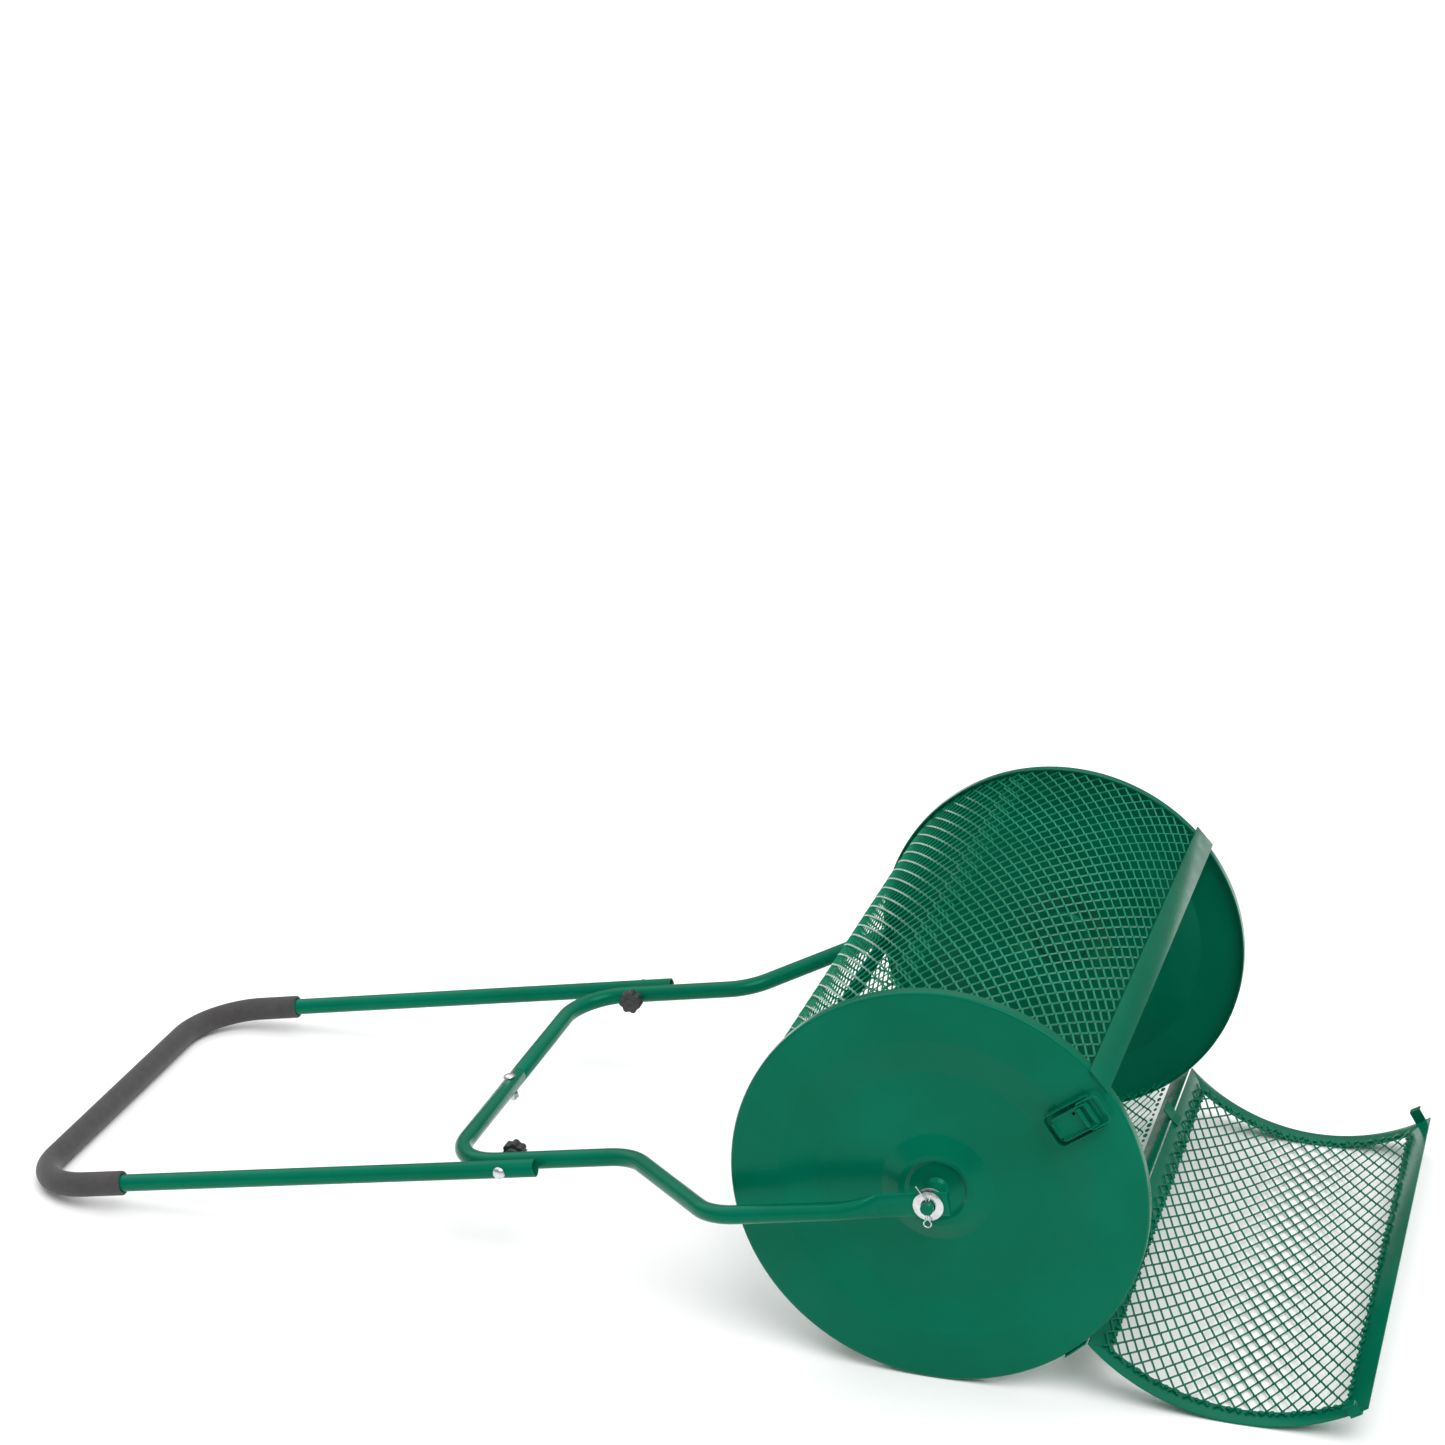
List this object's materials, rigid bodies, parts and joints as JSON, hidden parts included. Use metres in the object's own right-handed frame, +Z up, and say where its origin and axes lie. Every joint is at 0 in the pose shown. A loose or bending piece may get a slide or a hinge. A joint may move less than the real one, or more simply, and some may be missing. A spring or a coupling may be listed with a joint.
{
  "type": "compost spreader",
  "caption": "Push-along drum spreader for compost and peat: a mesh drum with a hinged, latched door turns between pressed steel discs, pulled by a folding tubular handle.",
  "frame": {"origin": "centre of the footprint at floor level, in the stance shown: drum on its rims, door open on the floor, handle grip on the floor", "axes": "+X along the axle, +Y from the drum towards the handle's grip, +Z up"},
  "size_m": [0.7022, 1.4126, 0.3975],
  "materials": {
    "green_powder_coat": "glossy dark green powder coat on steel",
    "zinc_plate": "bright zinc plate",
    "black_plastic": "moulded black plastic",
    "grey_foam": "matt dark grey foam"
  },
  "bodies": {
    "drum": {"left_end_disc": "green_powder_coat", "right_end_disc": "green_powder_coat", "drum_mesh_wall": "green_powder_coat", "drum_latch_side_strip": "green_powder_coat", "drum_hinge_side_strip": "green_powder_coat", "drum_back_brace_upper": "green_powder_coat", "drum_back_brace_lower": "green_powder_coat", "left_axle_boss": "green_powder_coat", "right_axle_boss": "green_powder_coat", "left_axle_stub": "green_powder_coat", "right_axle_stub": "green_powder_coat", "left_inner_washer": "zinc_plate", "right_inner_washer": "zinc_plate", "left_outer_washer": "zinc_plate", "right_outer_washer": "zinc_plate", "left_cotter_pin": "zinc_plate", "right_cotter_pin": "zinc_plate", "left_latch_base": "green_powder_coat", "right_latch_base": "green_powder_coat", "left_latch_pin": "zinc_plate", "right_latch_pin": "zinc_plate"},
    "door": {"door_mesh_panel": "green_powder_coat", "door_hinge_side_strip": "green_powder_coat", "door_latch_side_strip": "green_powder_coat", "door_left_arc_strip": "green_powder_coat", "door_right_arc_strip": "green_powder_coat", "door_left_hinge_tab": "green_powder_coat", "door_right_hinge_tab": "green_powder_coat", "left_latch_keeper": "green_powder_coat", "right_latch_keeper": "green_powder_coat"},
    "left_latch_lever": {"left_latch_lever": "green_powder_coat"},
    "right_latch_lever": {"right_latch_lever": "green_powder_coat"},
    "left_latch_bail": {"left_latch_bail": "green_powder_coat"},
    "right_latch_bail": {"right_latch_bail": "green_powder_coat"},
    "handle": {"left_lower_arm": "green_powder_coat", "right_lower_arm": "green_powder_coat", "crossbar_bolt": "zinc_plate", "crossbar_nut": "zinc_plate", "left_clamp_bolt": "zinc_plate", "right_clamp_bolt": "zinc_plate"},
    "left_knob": {"left_clamp_knob": "black_plastic"},
    "right_knob": {"right_clamp_knob": "black_plastic"},
    "upper_handle": {"upper_handle_tube": "green_powder_coat", "foam_grip": "grey_foam"}
  },
  "joints": [
    {"name": "handle_swing", "type": "hinge", "parent": "drum", "child": "handle", "pos_m": [0, -0.29896, 0.19873], "axis": [1, 0, 0], "continuous": true},
    {"name": "upper_handle_fold", "type": "hinge", "parent": "handle", "child": "upper_handle", "pos_m": [0, 0.16006, 0.11276], "axis": [1, 0, 0], "range_deg": [0, 150]},
    {"name": "left_knob_turn", "type": "hinge", "parent": "handle", "child": "left_knob", "pos_m": [-0.19, 0.16006, 0.11276], "axis": [1, 0, 0], "continuous": true},
    {"name": "right_knob_turn", "type": "hinge", "parent": "handle", "child": "right_knob", "pos_m": [0.19, 0.16006, 0.11276], "axis": [1, 0, 0], "continuous": true},
    {"name": "door_hinge", "type": "hinge", "parent": "drum", "child": "door", "pos_m": [0, -0.44549, 0.06113], "axis": [-1, 0, 0], "range_deg": [0, 92.67]},
    {"name": "left_latch_lever", "type": "hinge", "parent": "drum", "child": "left_latch_lever", "pos_m": [-0.311, -0.44135, 0.30218], "axis": [0, 0.5878, 0.809], "range_deg": [0, 140]},
    {"name": "right_latch_lever", "type": "hinge", "parent": "drum", "child": "right_latch_lever", "pos_m": [0.311, -0.44135, 0.30218], "axis": [0, -0.5878, -0.809], "range_deg": [0, 140]},
    {"name": "left_latch_bail", "type": "hinge", "parent": "left_latch_lever", "child": "left_latch_bail", "pos_m": [-0.3142, -0.43528, 0.29777], "axis": [0, 0.5878, 0.809], "range_deg": [-170, 0]},
    {"name": "right_latch_bail", "type": "hinge", "parent": "right_latch_lever", "child": "right_latch_bail", "pos_m": [0.3142, -0.43528, 0.29777], "axis": [0, -0.5878, -0.809], "range_deg": [-170, 0]}
  ],
  "couplings": [
    {"joint": "left_latch_bail", "follows": "left_latch_lever", "ratio": -1.2},
    {"joint": "right_latch_bail", "follows": "right_latch_lever", "ratio": -1.2}
  ]
}
